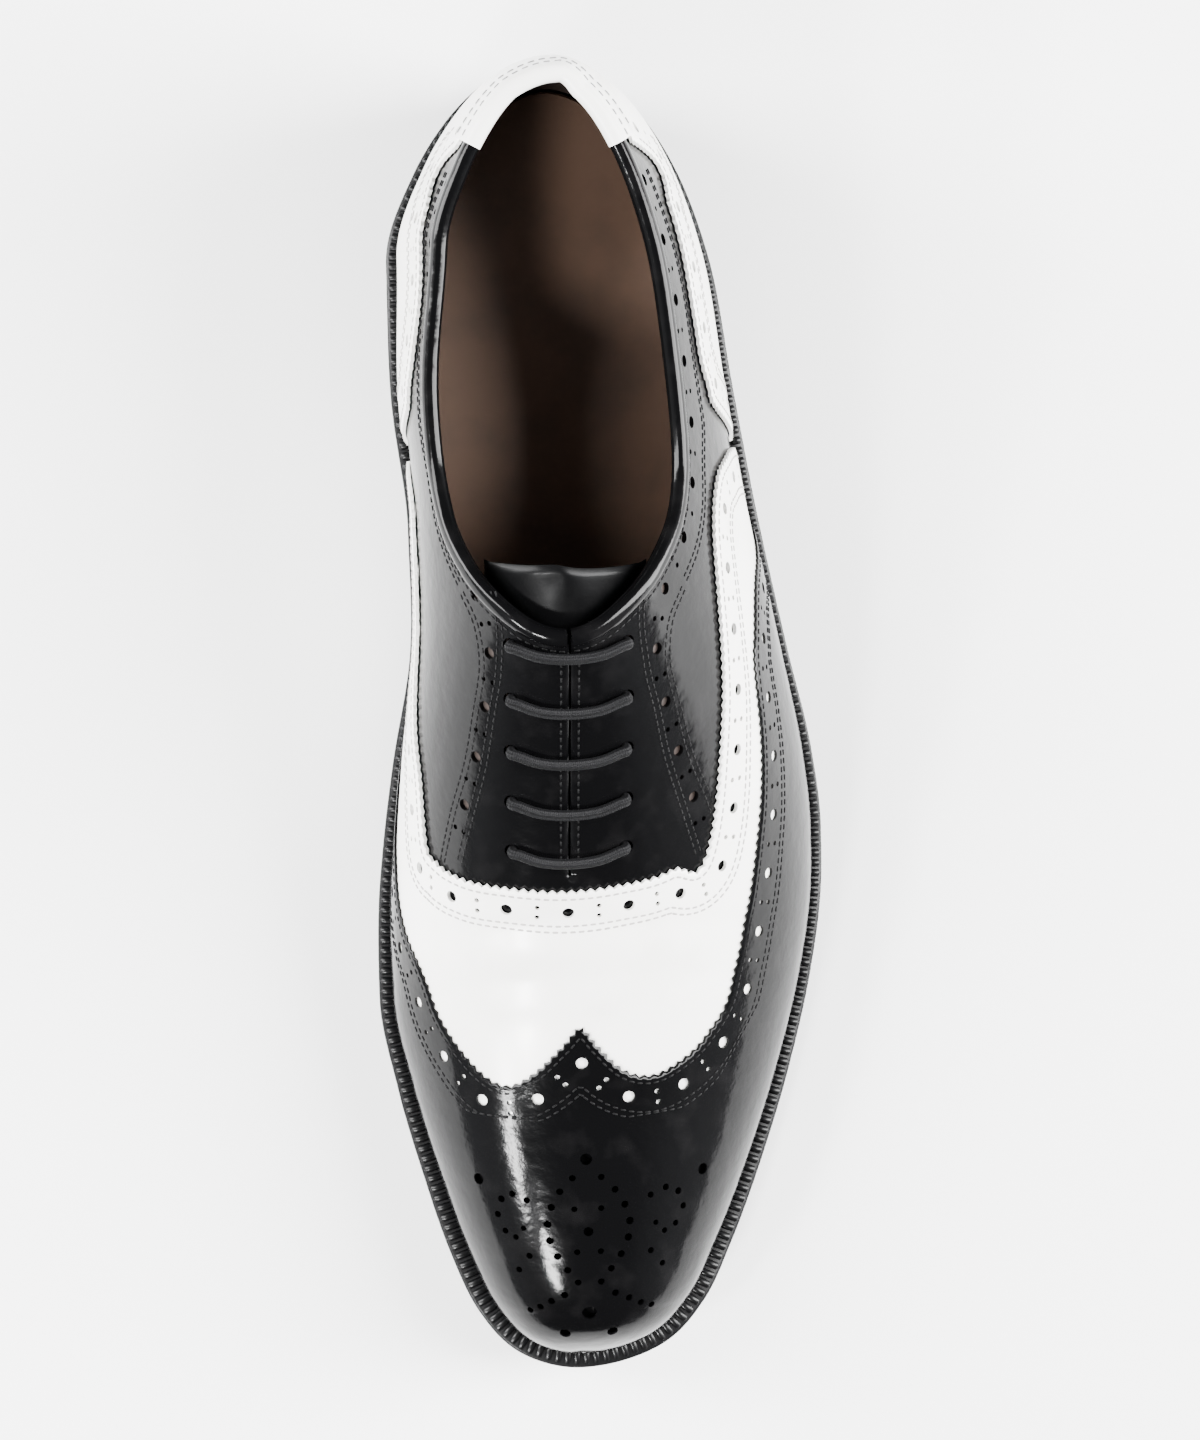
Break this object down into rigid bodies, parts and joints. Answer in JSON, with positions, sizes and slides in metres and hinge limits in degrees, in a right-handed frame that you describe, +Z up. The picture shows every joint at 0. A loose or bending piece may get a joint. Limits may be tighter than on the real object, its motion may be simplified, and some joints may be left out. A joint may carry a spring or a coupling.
{
  "type": "spectator shoe",
  "caption": "Two-tone spectator shoe for the left foot: closed-laced wing-tip oxford with hollow upper, ribbed welt, leather sole and block heel.",
  "frame": {"origin": "on the floor, under the middle of the welt's outline", "axes": "+Z up, -Y towards the toe, +Y towards the heel, +X towards the outer side of the left foot"},
  "size_m": [0.1058, 0.302, 0.0961],
  "materials": {
    "black_calf": "high-gloss polished black calf leather",
    "white_calf": "smooth white calf leather, satin",
    "welt_leather": "black waxed sole leather, ribbed welt",
    "heel_rubber": "matt black rubber",
    "lining_leather": "dark brown lining leather, matt",
    "lace_cotton": "waxed dark grey round cotton lace"
  },
  "bodies": {
    "root": {"outsole": "welt_leather", "welt": "welt_leather", "heel_stack": "welt_leather", "heel_top_piece": "heel_rubber", "insole": "lining_leather", "upper": "black_calf", "vamp": "white_calf", "wing_cap": "black_calf", "heel_counter": "white_calf", "back_tab": "white_calf", "collar_bead_medial": "black_calf", "collar_bead_lateral": "black_calf", "tongue": "black_calf", "lace": "lace_cotton"}
  },
  "joints": []
}
